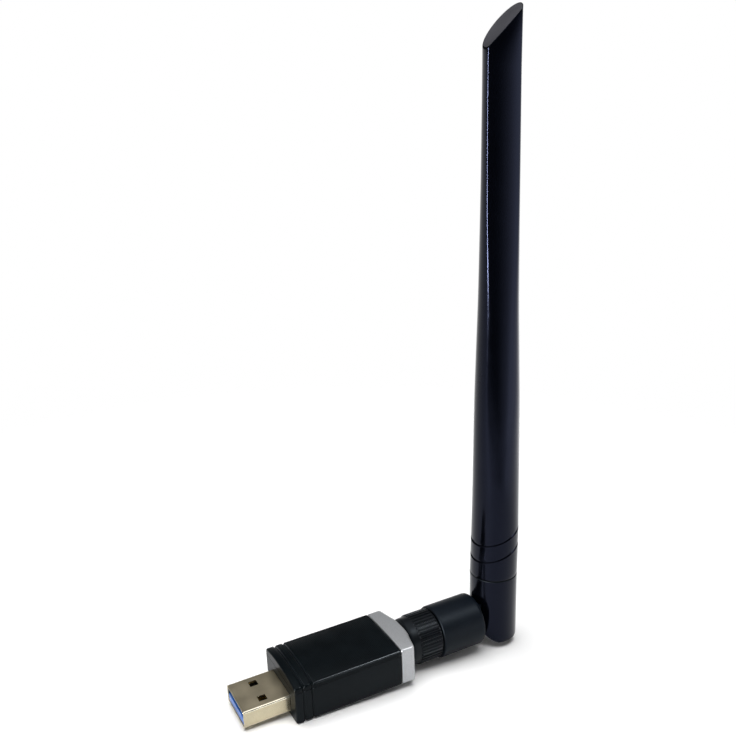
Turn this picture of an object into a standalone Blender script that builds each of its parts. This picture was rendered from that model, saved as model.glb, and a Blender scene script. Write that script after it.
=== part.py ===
"""USB Wi-Fi adapter with a swivelling, folding dipole antenna.

Frame: +X runs from the USB plug to the antenna hinge, +Z up, +Y across.
The origin is the centre of the footprint at the height of the lowest point,
which is the underside of the round antenna base.  The antenna stands upright.

Lengths below are millimetres measured from the plug's mouth (x), from the
centre plane (y) and from the adapter's long axis (z).  P() turns them into
metres in the part's own frame.
"""
import math

import bpy
import bmesh
import numpy as np
from mathutils import Matrix, Vector

# ------------------------------------------------------------ driving sizes
MM = 0.001
GAP = 0.3                 # clearance between touching pieces

PLUG_LEN = 12.0           # exposed length of the USB type A plug
PLUG_W = 12.0
PLUG_H = 4.5
PLUG_WALL = 0.35
PLUG_Z = -1.0             # the plug sits a little below the adapter's axis
PLUG_BACK = 17.6          # end of the shell inside the housing

HOUSE_X0 = 12.0
HOUSE_X1 = 41.2
HOUSE_W = 19.2
HOUSE_LO, HOUSE_HI = -4.725, 5.25
HOUSE_R = 0.50            # edge rounding
WALL = 1.25
CROWN, CROWN_BACK = 1.0, 0.4   # rise of the lid at its two ends
SEAM_Z = 3.85             # joint between the tub and the lid
GROOVES = (14.3, 16.6)
GROOVE_D = 0.3

CAP_X1 = 45.1
NECK_X1 = 46.4
NECK_W = 9.0

NUT_X0, NUT_X1, NUT_R = 46.7, 55.8, 6.6
RIBS = 40

BASE_X0, BASE_X1, BASE_R = 56.0, 69.2, 7.0
PIVOT_X = 76.0
LUG_R = 5.0
LUG_HALF = 2.6
KNUCKLE_R = 6.45
KNUCKLE_TOP = 12.6
KNUCKLE_BOTTOM = 6.2
PIN_R = 1.5

LEAN = 0.86               # the antenna stands this many degrees off upright, toward +X
BLADE_S0 = 12.9
TIP_MID = 153.15          # slanted tip: height on the axis, then rise per mm
TIP_RISE, TIP_BACK = 1.03, 0.35
FACET_D = 2.3             # distance of the long flat from the blade's axis, at the tip
BLADE_YAW = -20.0         # the blade is clocked a little on its knuckle
RING_TILT = 19.7
RINGS = (20.2, 25.0)

X_MID = 41.5630           # half way from the plug's mouth to the far edge of the leaning blade
AXIS_Z = BASE_R           # height of the long axis above the lowest point


def P(x, y=0.0, z=0.0):
    return Vector(((x - X_MID) * MM, y * MM, (z + AXIS_Z) * MM))


# ---------------------------------------------------------------- the scene
for _ob in list(bpy.data.objects):
    bpy.data.objects.remove(_ob, do_unlink=True)


def material(name, rgb, rough, metal=0.0):
    m = bpy.data.materials.new(name)
    m.use_nodes = True
    b = m.node_tree.nodes.get("Principled BSDF")
    b.inputs["Base Color"].default_value = (*rgb, 1.0)
    b.inputs["Roughness"].default_value = rough
    b.inputs["Metallic"].default_value = metal
    m.diffuse_color = (*rgb, 1.0)
    return m


M_BLACK = material("black_plastic", (0.016, 0.018, 0.020), 0.38)
M_ANT = material("antenna_plastic", (0.010, 0.011, 0.016), 0.30)
M_SILVER = material("silver_cap", (0.46, 0.47, 0.48), 0.36, 0.8)
M_NICKEL = material("nickel_shell", (0.62, 0.57, 0.47), 0.25, 1.0)
M_BLUE = material("blue_insulator", (0.03, 0.13, 0.52), 0.40)
M_GOLD = material("gold_contact", (0.83, 0.62, 0.25), 0.25, 1.0)
M_BRASS = material("brass", (0.72, 0.55, 0.27), 0.32, 1.0)
M_PCB = material("green_board", (0.02, 0.14, 0.06), 0.45)
M_CHIP = material("chip_epoxy", (0.03, 0.03, 0.032), 0.55)
M_TIN = material("tinned_steel", (0.70, 0.70, 0.68), 0.35, 1.0)
M_CERAMIC = material("ceramic", (0.55, 0.42, 0.30), 0.55)
M_FERRITE = material("ferrite", (0.10, 0.10, 0.11), 0.60)
M_PTFE = material("ptfe", (0.88, 0.88, 0.86), 0.50)
M_STEEL = material("steel", (0.60, 0.60, 0.62), 0.28, 1.0)
M_COPPER = material("copper", (0.80, 0.42, 0.28), 0.35, 1.0)
M_JACKET = material("coax_jacket", (0.05, 0.05, 0.05), 0.55)
M_FOAM = material("foam_ring", (0.70, 0.70, 0.72), 0.90)


AT = {}


def frame_empty(name, at, parent=None):
    e = bpy.data.objects.new(name, None)
    e.empty_display_size = 0.004
    bpy.context.collection.objects.link(e)
    e.parent = parent
    e.location = at - (AT[parent.name] if parent is not None else Vector((0, 0, 0)))
    AT[name] = at.copy()
    return e


# joint frames, each on its own axis
ROOT = frame_empty("adapter_frame", P(0, 0, 0))
CONNECTOR = frame_empty("connector_frame", P(50.0, 0, 0), ROOT)
NUT = frame_empty("nut_frame", P(NUT_X0, 0, 0), CONNECTOR)
BASE = frame_empty("base_frame", P(BASE_X0, 0, 0), CONNECTOR)
ANTENNA = frame_empty("antenna_frame", P(PIVOT_X, 0, 0), BASE)
ANTENNA.rotation_euler = (0.0, math.radians(LEAN), 0.0)


def finish(name, bm, mat, parent, smooth=35.0, origin=None, yaw=0.0):
    """Make an object of a mesh whose coordinates are millimetres in P()'s
    frame, with its origin on its parent's axis unless one is given."""
    bmesh.ops.remove_doubles(bm, verts=bm.verts, dist=1e-5)
    bmesh.ops.recalc_face_normals(bm, faces=bm.faces)
    at = AT[parent.name] if origin is None else P(*origin)
    for v in bm.verts:
        v.co = P(v.co.x, v.co.y, v.co.z) - at
    me = bpy.data.meshes.new(name)
    bm.to_mesh(me)
    bm.free()
    me.materials.append(mat)
    ob = bpy.data.objects.new(name, me)
    bpy.context.collection.objects.link(ob)
    ob.parent = parent
    ob.location = at - AT[parent.name]
    ob.rotation_euler = (0.0, 0.0, math.radians(yaw))
    if smooth:
        me.shade_smooth()
        me.set_sharp_from_angle(angle=math.radians(smooth))
    return ob


def cutter(name, bm, parent, origin=None):
    ob = finish(name, bm, M_BLACK, parent, smooth=0, origin=origin)
    ob.hide_render = True
    ob.display_type = "WIRE"
    return ob


def boolean(ob, other, op="DIFFERENCE"):
    m = ob.modifiers.new(op.lower(), "BOOLEAN")
    m.operation = op
    m.solver = "EXACT"
    m.object = other
    return m


# ------------------------------------------------------------- shape makers
def cap(bm, ring):
    bm.faces.new(ring)


def loft(rings, close_start=True, close_end=True, bm=None):
    """Skin a list of rings, each the same number of points."""
    bm = bm or bmesh.new()
    vs = [[bm.verts.new(p) for p in r] for r in rings]
    n = len(vs[0])
    for a, b in zip(vs[:-1], vs[1:]):
        for i in range(n):
            j = (i + 1) % n
            bm.faces.new((a[i], a[j], b[j], b[i]))
    if close_start:
        bm.faces.new(list(reversed(vs[0])))
    if close_end:
        bm.faces.new(vs[-1])
    return bm


def box(x0, x1, y0, y1, z0, z1, bm=None):
    bm = bm or bmesh.new()
    r = lambda x: [(x, y0, z0), (x, y1, z0), (x, y1, z1), (x, y0, z1)]
    return loft([r(x0), r(x1)], bm=bm)


def turned(profile, segs=32, axis="X", centre=(0.0, 0.0, 0.0), bm=None, radius=None):
    """Turn a closed outline of (along, radius) points about an axis.
    Points of radius 0 become poles.  radius(k, r) may vary r round the turn."""
    bm = bm or bmesh.new()
    cx, cy, cz = centre
    rings = []
    for a, r in profile:
        if r <= 1e-9:
            c = (cx + a, cy, cz) if axis == "X" else ((cx, cy, cz + a) if axis == "Z" else (cx, cy + a, cz))
            rings.append([bm.verts.new(c)])
            continue
        ring = []
        for k in range(segs):
            t = 2 * math.pi * k / segs
            rr = radius(k, a, r) if radius else r
            u, w = rr * math.cos(t), rr * math.sin(t)
            if axis == "X":
                c = (cx + a, cy + u, cz + w)
            elif axis == "Z":
                c = (cx + u, cy + w, cz + a)
            else:
                c = (cx + u, cy + a, cz + w)
            ring.append(bm.verts.new(c))
        rings.append(ring)
    m = len(rings)
    for i in range(m):
        a, b = rings[i], rings[(i + 1) % m]
        if len(a) == 1 and len(b) == 1:
            continue
        for k in range(segs):
            j = (k + 1) % segs
            if len(a) == 1:
                bm.faces.new((a[0], b[k], b[j]))
            elif len(b) == 1:
                bm.faces.new((a[k], a[j], b[0]))
            else:
                bm.faces.new((a[k], a[j], b[j], b[k]))
    return bm


def rod(x0, x1, r, segs=24, axis="X", centre=(0.0, 0.0, 0.0), edge=0.0):
    e = edge
    if e:
        prof = [(x0, 0), (x0, r - e), (x0 + e, r), (x1 - e, r), (x1, r - e), (x1, 0)]
    else:
        prof = [(x0, 0), (x0, r), (x1, r), (x1, 0)]
    return turned(prof, segs, axis, centre)


def tube(x0, x1, r_out, r_in, segs=32, axis="X", centre=(0.0, 0.0, 0.0), edge=0.0):
    e = edge
    if e:
        prof = [(x0, r_in), (x0, r_out - e), (x0 + e, r_out), (x1 - e, r_out), (x1, r_out - e), (x1, r_in)]
    else:
        prof = [(x0, r_in), (x0, r_out), (x1, r_out), (x1, r_in)]
    return turned(prof, segs, axis, centre)


def rounded(half_w, lo, hi, r, crown=0.0, bow=0.0, n_corner=4, n_top=10, n_side=2):
    """Outline in (y, z) of a rounded rectangle with a domed top and slightly
    bowed sides, counter-clockwise from the lower right."""
    pts = []

    def corner(cy, cz, a0):
        for i in range(n_corner + 1):
            t = a0 + (math.pi / 2) * i / n_corner
            pts.append((cy + r * math.cos(t), cz + r * math.sin(t)))

    w = half_w
    corner(w - r, lo + r, -math.pi / 2)
    for i in range(1, n_side):
        pts.append((w, lo + r + (hi - lo - 2 * r) * i / n_side))
    corner(w - r, hi - r, 0.0)
    for i in range(1, n_top):
        pts.append((w - r - 2 * (w - r) * i / n_top, hi))
    corner(-w + r, hi - r, math.pi / 2)
    for i in range(1, n_side):
        pts.append((-w, hi - r - (hi - lo - 2 * r) * i / n_side))
    corner(-w + r, lo + r, math.pi)
    for i in range(1, 4):
        pts.append((-w + r + 2 * (w - r) * i / 4, lo))
    out = []
    mid, half = (lo + hi) / 2, (hi - lo) / 2
    for y, z in pts:
        if z > mid:
            z += crown * max(0.0, 1.0 - abs(y / w) ** 2.6) * min(1.0, (z - mid) / half)
        y -= math.copysign(bow * abs((z - mid) / half) ** 2, y) * min(1.0, abs(y) / w)
        out.append((y, z))
    return out


# ------------------------------------------------------------- the USB plug
def rr_outline(w, h, r, zc, n=4):
    pts = []
    for sx, sz, a0 in ((1, -1, -90), (1, 1, 0), (-1, 1, 90), (-1, -1, 180)):
        for i in range(n + 1):
            t = math.radians(a0 + 90 * i / n)
            pts.append((sx * (w / 2 - r) + r * math.cos(t), zc + sz * (h / 2 - r) + r * math.sin(t)))
    return pts


def plug_shell():
    outer = rr_outline(PLUG_W, PLUG_H, 0.65, PLUG_Z)
    inner = rr_outline(PLUG_W - 2 * PLUG_WALL, PLUG_H - 2 * PLUG_WALL, 0.35, PLUG_Z)
    mouth = rr_outline(PLUG_W - 0.3, PLUG_H - 0.3, 0.55, PLUG_Z)
    at = lambda o, x: [(x, y, z) for y, z in o]
    rings = [at(mouth, 0.0), at(outer, 0.2), at(outer, PLUG_BACK), at(inner, PLUG_BACK), at(inner, 0.0)]
    bm = loft(rings, False, False)
    bm.verts.ensure_lookup_table()
    n = len(outer)
    first, last = bm.verts[:n], bm.verts[4 * n:5 * n]
    for i in range(n):
        j = (i + 1) % n
        bm.faces.new((last[i], last[j], first[j], first[i]))
    ob = finish("plug_shell", bm, M_NICKEL, ROOT)
    cut = bmesh.new()
    for y in (-3.1, 3.1):
        for z in (PLUG_Z - PLUG_H / 2, PLUG_Z + PLUG_H / 2):
            box(4.8, 7.0, y - 1.05, y + 1.05, z - 0.6, z + 0.6, cut)
    boolean(ob, cutter("cut_windows", cut, ROOT))
    return ob


plug_shell()
TONGUE_TOP = PLUG_Z + 0.1
FLOOR = PLUG_Z - PLUG_H / 2 + PLUG_WALL

bm = box(0.15, PLUG_BACK - 0.3, -5.35, 5.35, FLOOR + 0.2, TONGUE_TOP)
finish("plug_tongue", bm, M_BLUE, ROOT, smooth=0)

CON_Z0, CON_Z1 = TONGUE_TOP + 0.08, TONGUE_TOP + 0.28
for i, y in enumerate((-3.5, -1.0, 1.0, 3.5)):
    bm = box(1.6, 19.6, y - 0.4, y + 0.4, CON_Z0, CON_Z1)
    finish("power_contact_%d" % (i + 1), bm, M_GOLD, ROOT, smooth=0)
for i, y in enumerate((-4.75, -2.25, 0.0, 2.25, 4.75)):
    # a sprung contact: it lies on the tongue and arches up near its tip
    prof = [(9.2, 0.10), (10.1, 0.85), (11.0, 0.85), (12.0, 0.08), (19.6, 0.08)]
    low = [(x, y, TONGUE_TOP + z) for x, z in prof]
    rings = []
    for x, z in prof:
        rings.append([(x, y - 0.26, TONGUE_TOP + z), (x, y + 0.26, TONGUE_TOP + z),
                      (x, y + 0.26, TONGUE_TOP + z + 0.2), (x, y - 0.26, TONGUE_TOP + z + 0.2)])
    finish("signal_contact_%d" % (i + 1), loft(rings), M_GOLD, ROOT, smooth=0)

CEIL = PLUG_Z + PLUG_H / 2 - PLUG_WALL
bm = box(13.0, PLUG_BACK - 0.3, -5.35, 5.35, CON_Z1 + 0.12, CEIL - 0.2)
finish("contact_retainer", bm, M_BLACK, ROOT, smooth=0)


# -------------------------------------------------------------- the housing
def house_rings():
    rings = []
    st = [(HOUSE_X0, 0.55), (HOUSE_X0 + 0.15, 0.22), (HOUSE_X0 + 0.55, 0.0)]
    for g in GROOVES:
        st += [(g - 0.5, 0.0), (g - 0.28, GROOVE_D), (g + 0.28, GROOVE_D), (g + 0.5, 0.0)]
    st += [(22.0, 0.0), (28.0, 0.0), (34.0, 0.0), (HOUSE_X1, 0.0)]
    for x, inset in st:
        c = CROWN + (CROWN_BACK - CROWN) * (x - HOUSE_X0) / (HOUSE_X1 - HOUSE_X0)
        o = rounded(HOUSE_W / 2 - inset, HOUSE_LO + inset, HOUSE_HI - inset,
                    HOUSE_R, crown=c, bow=0.12)
        rings.append([(x, y, z) for y, z in o])
    return rings


CAV_Y = HOUSE_W / 2 - WALL
CAV_LO, CAV_HI = HOUSE_LO + WALL, HOUSE_HI - WALL
# lower tub: everything under the seam, hollow, with the plug's opening
tub = finish("bottom_cover", loft(house_rings()), M_BLACK, ROOT, smooth=30)
boolean(tub, cutter("cut_above_seam", box(11, 43, -11, 11, SEAM_Z, 9), ROOT))
boolean(tub, cutter("cut_tub_cavity", box(HOUSE_X0 + WALL, 43, -CAV_Y, CAV_Y, CAV_LO, 9.5), ROOT))
hole = rr_outline(PLUG_W + 0.5, PLUG_H + 0.5, 0.8, PLUG_Z)
boolean(tub, cutter("cut_plug_hole", loft([[(x, y, z) for y, z in hole] for x in (11.0, 14.0)]), ROOT))
# four posts that carry the board
BOARD_Z0, BOARD_Z1 = TONGUE_TOP - 1.05, TONGUE_TOP - 0.05
posts = bmesh.new()
for x in (21.0, 37.5):
    for y in (-6.4, 6.4):
        turned([(CAV_LO - 0.4, 0), (CAV_LO - 0.4, 0.9), (BOARD_Z0 - 0.25, 0.9), (BOARD_Z0 - 0.25, 0)],
               16, "Z", (x, y, 0.0), posts)
boolean(tub, cutter("add_posts", posts, ROOT), "UNION")

# lid with a lip that locates inside the tub
lid = finish("top_cover", loft(house_rings()), M_BLACK, ROOT, smooth=30)
boolean(lid, cutter("cut_below_seam", box(11, 43, -11, 11, -9, SEAM_Z + 0.25), ROOT))
lip = box(HOUSE_X0 + WALL + 0.35, HOUSE_X1 - 0.2, -CAV_Y + 0.3, CAV_Y - 0.3, SEAM_Z - 0.9, SEAM_Z + 0.6)
boolean(lid, cutter("add_lip", lip, ROOT), "UNION")
boolean(lid, cutter("cut_lip_inside", box(HOUSE_X0 + WALL + 1.15, 43, -CAV_Y + 1.1, CAV_Y - 1.1, 0, SEAM_Z + 0.2), ROOT))

# -------------------------------------------------- silver end cap and neck
rings = []
for x, half, inset in ((HOUSE_X1 + 0.25, HOUSE_W / 2, 0.12), (HOUSE_X1 + 0.4, HOUSE_W / 2, 0.0),
                       (CAP_X1 - 0.3, HOUSE_W / 2, 0.0), (CAP_X1, HOUSE_W / 2 - 0.35, 0.0),
                       (NECK_X1 - 0.2, NECK_W / 2 + 0.5, 0.0), (NECK_X1, NECK_W / 2, 0.2)):
    o = rounded(half - inset, HOUSE_LO + inset, HOUSE_HI - inset, HOUSE_R, crown=CROWN_BACK, bow=0.12)
    rings.append([(x, y, z) for y, z in o])
capo = finish("end_cap", loft(rings), M_SILVER, ROOT, smooth=30)
boolean(capo, cutter("cut_cap_cavity", box(40, 43.2, -CAV_Y, CAV_Y, CAV_LO, CAV_HI), ROOT))
boolean(capo, cutter("cut_cap_bore", turned(
    [(42.5, 0), (42.5, 4.1), (44.3, 4.1), (44.3, 3.5), (49.0, 3.5), (49.0, 0)], 32), ROOT))

# ------------------------------------------------------- board and its parts
bm = box(PLUG_BACK + 0.3, 40.9, -7.6, 7.6, BOARD_Z0, BOARD_Z1)
finish("circuit_board", bm, M_PCB, ROOT, smooth=0)
TOP = BOARD_Z1 + 0.08
# shielding can, open underneath
can = finish("shield_can", box(24.2, 36.2, -5.4, 5.4, TOP, TOP + 2.2), M_TIN, ROOT, smooth=0)
boolean(can, cutter("cut_can", box(24.45, 35.95, -5.15, 5.15, TOP - 1, TOP + 1.95), ROOT))
finish("wifi_chip", box(26.0, 32.0, -3.0, 3.0, TOP, TOP + 0.85), M_CHIP, ROOT, smooth=0)
finish("front_end_chip", box(33.0, 35.4, -1.2, 1.2, TOP, TOP + 0.75), M_CHIP, ROOT, smooth=0)
finish("crystal", box(20.6, 23.4, -5.9, -3.9, TOP, TOP + 0.8), M_TIN, ROOT, smooth=0)
finish("regulator_chip", box(20.4, 22.2, -1.0, 1.0, TOP, TOP + 0.8), M_CHIP, ROOT, smooth=0)
finish("power_inductor", rod(TOP, TOP + 1.6, 1.5, 24, "Z", (22.0, 4.6, 0.0), 0.2), M_FERRITE, ROOT)
finish("capacitor_1", box(37.2, 38.4, -4.9, -4.1, TOP, TOP + 0.7), M_CERAMIC, ROOT, smooth=0)
finish("capacitor_2", box(37.2, 38.4, 4.1, 4.9, TOP, TOP + 0.7), M_CERAMIC, ROOT, smooth=0)

# ------------------------------------------------------------- antenna jack
jack = finish("jack_body", turned(
    [(43.2, 2.3), (43.2, 3.2), (43.35, 3.75), (44.0, 3.75), (44.0, 3.15), (53.1, 3.15), (53.4, 2.85), (53.4, 2.3)], 32),
    M_BRASS, ROOT)
finish("jack_insulator", tube(42.8, 48.3, 2.0, 0.75, 24), M_PTFE, ROOT)
finish("jack_pin", turned([(39.4, 0), (39.4, 0.45), (52.0, 0.45), (52.6, 0.2), (52.6, 0)], 16), M_GOLD, ROOT)


# ---------------------------------------------------- knurled coupling nut
def rib_radius(k, a, r):
    if 49.25 < a < 55.5 and r > 6.0:
        return r if k % 3 == 0 else r - 0.32
    return r


nut_prof = [(NUT_X0, 3.7), (NUT_X0, 5.35), (NUT_X0 + 0.3, 5.85), (NUT_X0 + 0.95, 6.2), (49.2, 6.28),
            (49.3, NUT_R), (55.45, NUT_R), (55.55, 6.34), (NUT_X1, 6.1), (NUT_X1, 4.9), (48.6, 4.9), (48.6, 3.7)]
finish("nut_shell", turned(nut_prof, 3 * RIBS, radius=rib_radius), M_BLACK, NUT, smooth=30)
finish("nut_insert", turned(
    [(48.9, 3.5), (48.9, 4.55), (55.4, 4.55), (55.4, 2.5), (54.85, 2.5), (54.85, 3.5)], 24), M_BRASS, NUT)

# ------------------------------------------- connector core of the antenna
finish("connector_ferrule", turned(
    [(50.0, 1.6), (50.0, 1.95), (53.7, 1.95), (53.7, 3.1), (54.5, 3.1), (54.5, 2.15), (55.75, 2.15),
     (55.75, 3.1), (66.0, 3.1), (66.0, 1.6)], 32), M_BRASS, CONNECTOR)
finish("connector_insulator", tube(50.3, 61.5, 1.4, 1.0, 24), M_PTFE, CONNECTOR)
finish("connector_socket", turned(
    [(50.2, 0.6), (50.2, 0.85), (62.4, 0.85), (62.4, 0), (54.5, 0), (54.5, 0.6)], 16), M_GOLD, CONNECTOR)

# --------------------------------------------------- round base with its lug
base = finish("antenna_base", turned(
    [(BASE_X0, 3.45), (BASE_X0, BASE_R - 0.32), (BASE_X0 + 0.09, BASE_R - 0.12), (BASE_X0 + 0.3, BASE_R),
     (BASE_X1 - 0.7, BASE_R), (BASE_X1 - 0.2, BASE_R - 0.22), (BASE_X1, BASE_R - 0.7), (BASE_X1, 0),
     (66.5, 0), (66.5, 3.45)], 64), M_BLACK, BASE)
outline = [(BASE_X1 - 1.2, -LUG_R), (PIVOT_X, -LUG_R)]
outline += [(PIVOT_X + LUG_R * math.sin(math.pi * i / 20), -LUG_R * math.cos(math.pi * i / 20)) for i in range(1, 20)]
outline += [(PIVOT_X, LUG_R), (BASE_X1 - 1.2, LUG_R)]
lug = loft([[(x, y, z) for x, z in outline] for y in (-LUG_HALF, LUG_HALF)])
boolean(base, cutter("add_lug", lug, BASE), "UNION")
boolean(base, cutter("cut_pin_hole", rod(-4, 4, PIN_R + 0.3, 32, "Y", (PIVOT_X, 0, 0)), BASE))
boolean(base, cutter("cut_coax_way", rod(65.5, PIVOT_X - 1.0, 1.2, 24), BASE))
finish("coax_lower", rod(62.8, 73.8, 0.9, 16), M_JACKET, CONNECTOR)
finish("hinge_pin", rod(-5.0, 5.0, PIN_R, 32, "Y", (PIVOT_X, 0, 0), 0.2), M_STEEL, BASE, origin=(PIVOT_X, 0, 0))

# -------------------------------------------------------------- the knuckle
knuckle = finish("knuckle", turned(
    [(-KNUCKLE_R, 0), (-KNUCKLE_R, KNUCKLE_R), (KNUCKLE_TOP - 0.15, KNUCKLE_R), (KNUCKLE_TOP, KNUCKLE_R - 0.15),
     (KNUCKLE_TOP, 4.4), (17.0, 4.4), (17.0, 0)], 64, "Z", (PIVOT_X, 0, 0)), M_ANT, ANTENNA)
# round on the side that sweeps past the base as it folds, squarer on the other
outline = [(PIVOT_X + KNUCKLE_R, 30.0), (PIVOT_X - KNUCKLE_R, 30.0)]
for i in range(49):
    t = math.pi * i / 48
    c, q = -math.cos(t), math.sin(t)
    if c < 0:
        x, z = max(-KNUCKLE_R, 6.55 * c), max(-KNUCKLE_BOTTOM, -6.55 * q)
    else:
        x, z = KNUCKLE_R * c ** (2 / 4.5), -KNUCKLE_BOTTOM * q ** (2 / 4.5)
    if (x, z) != (outline[-1][0] - PIVOT_X, outline[-1][1]):
        outline.append((PIVOT_X + x, z))
boolean(knuckle, cutter("keep_round_bottom", loft([[(x, y, z) for x, z in outline] for y in (-8, 8)]), ANTENNA), "INTERSECT")
boolean(knuckle, cutter("cut_slot", box(PIVOT_X - 8, PIVOT_X + 8, -LUG_HALF - 0.3, LUG_HALF + 0.3, -8, LUG_R + 0.4), ANTENNA))
boolean(knuckle, cutter("cut_pin_seat", rod(-5.3, 5.3, PIN_R + 0.3, 32, "Y", (PIVOT_X, 0, 0)), ANTENNA))
boolean(knuckle, cutter("cut_coax_bore", rod(4.0, 18.0, 1.7, 24, "Z", (PIVOT_X, 0, 0)), ANTENNA))


# ----------------------------------------------------------- antenna blade
def blade_radius(s):
    return float(np.interp(s, (0, 13, 22, 34, 45, 61, 75, 89, 101, 113, 125, 148, 170),
                           (6.45, 6.45, 6.42, 6.22, 6.1, 5.92, 5.56, 5.17, 4.97, 4.81, 4.7, 4.57, 4.57)))


def blade_bow(s):
    """The long moulding is bowed a few tenths of a millimetre toward +X."""
    return float(np.interp(s, (13, 24, 40, 60, 80, 120, 146), (0, 0.18, 0.28, 0.3, 0.22, 0.15, 0)))


def facet(s):
    """Distance of the long flat from the axis; it runs out gradually on the round sleeve."""
    return min(blade_radius(s), float(np.interp(
        s, (50, 61, 77, 87, 97, 110, 125, 140), (6.1, 5.1, 4.34, 3.89, 3.37, 2.77, 2.45, FACET_D))))


def blade_rings(segs=56):
    st = [(BLADE_S0, 0.15), (BLADE_S0 + 0.15, 0.0)]
    for g in RINGS:
        st += [(g - 0.45, 0.0), (g - 0.25, 0.35), (g + 0.25, 0.35), (g + 0.45, 0.0)]
    st += [(s, 0.0) for s in (34, 41, 44, 46, 48.5, 51.5, 55, 59, 63, 68, 73, 78, 84, 93, 103, 113, 125, 137, 147.0)]
    tan = math.tan(math.radians(RING_TILT))
    ca, sa = math.cos(math.radians(BLADE_YAW)), math.sin(math.radians(BLADE_YAW))
    rings = []
    for s, inset in st:
        k = np.interp(s, (BLADE_S0 + 0.2, RINGS[0] - 0.6, RINGS[1] + 0.6, 38.0), (0, 1, 1, 0))
        r, f, b = blade_radius(s) - inset, facet(s) - inset, blade_bow(s)
        ring = []
        for i in range(segs):
            t = 2 * math.pi * i / segs
            x, y = r * math.cos(t), max(r * math.sin(t), -f)
            ring.append((PIVOT_X + x + b * ca, y - b * sa, s + k * tan * (x * ca - y * sa)))
        rings.append(ring)
    # the tip is one flat cut, rising toward +X and toward the back
    r, ring = blade_radius(150), []
    for i in range(segs):
        t = 2 * math.pi * i / segs
        x, y = r * math.cos(t), max(r * math.sin(t), -FACET_D)
        ring.append((PIVOT_X + x, y, TIP_MID + TIP_RISE * x + TIP_BACK * y))
    rings.append(ring)
    return rings


blade = finish("antenna_blade", loft(blade_rings()), M_ANT, ANTENNA, smooth=28, yaw=BLADE_YAW)
boolean(blade, cutter("cut_blade_core", turned(
    [(8.0, 0), (8.0, 4.7), (17.3, 4.7), (19.5, 2.15), (146.0, 2.15), (146.0, 0)], 24, "Z", (PIVOT_X, 0, 0)), ANTENNA))

# ------------------------------------------------- radiator inside the blade
finish("coax_upper", rod(6.2, 78.0, 1.35, 16, "Z", (PIVOT_X, 0, 0)), M_JACKET, ANTENNA)
finish("choke_sleeve", tube(60.0, 84.0, 1.9, 1.6, 24, "Z", (PIVOT_X, 0, 0)), M_BRASS, ANTENNA)
finish("radiator", turned(
    [(78.3, 0), (78.3, 0.6), (100.0, 0.6), (100.4, 1.1), (108.0, 1.1), (108.4, 0.6), (140.0, 0.6), (140.0, 0)],
    16, "Z", (PIVOT_X, 0, 0)), M_COPPER, ANTENNA)
finish("spacer_ring_1", tube(92.0, 95.0, 1.85, 0.9, 20, "Z", (PIVOT_X, 0, 0)), M_FOAM, ANTENNA)
finish("spacer_ring_2", tube(128.0, 131.0, 1.85, 0.9, 20, "Z", (PIVOT_X, 0, 0)), M_FOAM, ANTENNA)

bpy.context.view_layer.update()
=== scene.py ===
"""Looks of the USB Wi-Fi adapter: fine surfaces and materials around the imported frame."""
import math

import bmesh
import bpy
import numpy as np
from mathutils import Matrix, Vector


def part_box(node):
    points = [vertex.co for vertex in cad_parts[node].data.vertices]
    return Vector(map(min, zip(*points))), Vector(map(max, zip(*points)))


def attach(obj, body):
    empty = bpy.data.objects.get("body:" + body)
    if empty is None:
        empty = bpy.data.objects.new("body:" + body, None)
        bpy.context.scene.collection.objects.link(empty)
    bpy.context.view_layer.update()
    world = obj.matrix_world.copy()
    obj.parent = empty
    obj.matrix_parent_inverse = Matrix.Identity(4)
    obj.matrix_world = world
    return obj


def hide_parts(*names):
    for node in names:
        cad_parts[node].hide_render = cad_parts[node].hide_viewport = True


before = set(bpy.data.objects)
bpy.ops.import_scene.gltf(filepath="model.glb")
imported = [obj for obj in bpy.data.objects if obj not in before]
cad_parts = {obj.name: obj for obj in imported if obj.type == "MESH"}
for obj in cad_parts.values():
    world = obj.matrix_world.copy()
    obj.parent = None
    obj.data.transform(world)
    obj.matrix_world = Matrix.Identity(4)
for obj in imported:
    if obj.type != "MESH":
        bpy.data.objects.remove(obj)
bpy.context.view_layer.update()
scene = bpy.context.scene

MM = 0.001
CEILING = 0.08                                    # brightness of the dim room overhead and in front
ZENITH = 1.3                                      # of the overhead light as gloss sees it
RIGHT = 2.7                                       # and of the white wall on the right
_plug_lo, _plug_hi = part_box("plug_shell")
_base_lo, _base_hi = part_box("antenna_base")
X0 = _plug_lo.x                                   # the plug's mouth
AXIS = (_base_lo.z + _base_hi.z) / 2              # height of the long axis
PIVOT = (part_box("hinge_pin")[0].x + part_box("hinge_pin")[1].x) / 2
PX = (PIVOT - X0) / MM                            # hinge, mm from the plug's mouth


LEAN = math.radians(0.86)                         # the antenna stands a little off upright
leaning = False


def P(x, y=0.0, z=0.0):
    """Millimetres from the plug's mouth, centre plane and long axis, in metres."""
    if leaning:
        x, z = PX + (x - PX) * math.cos(LEAN) + z * math.sin(LEAN), z * math.cos(LEAN) - (x - PX) * math.sin(LEAN)
    return Vector((X0 + x * MM, y * MM, AXIS + z * MM))


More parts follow.
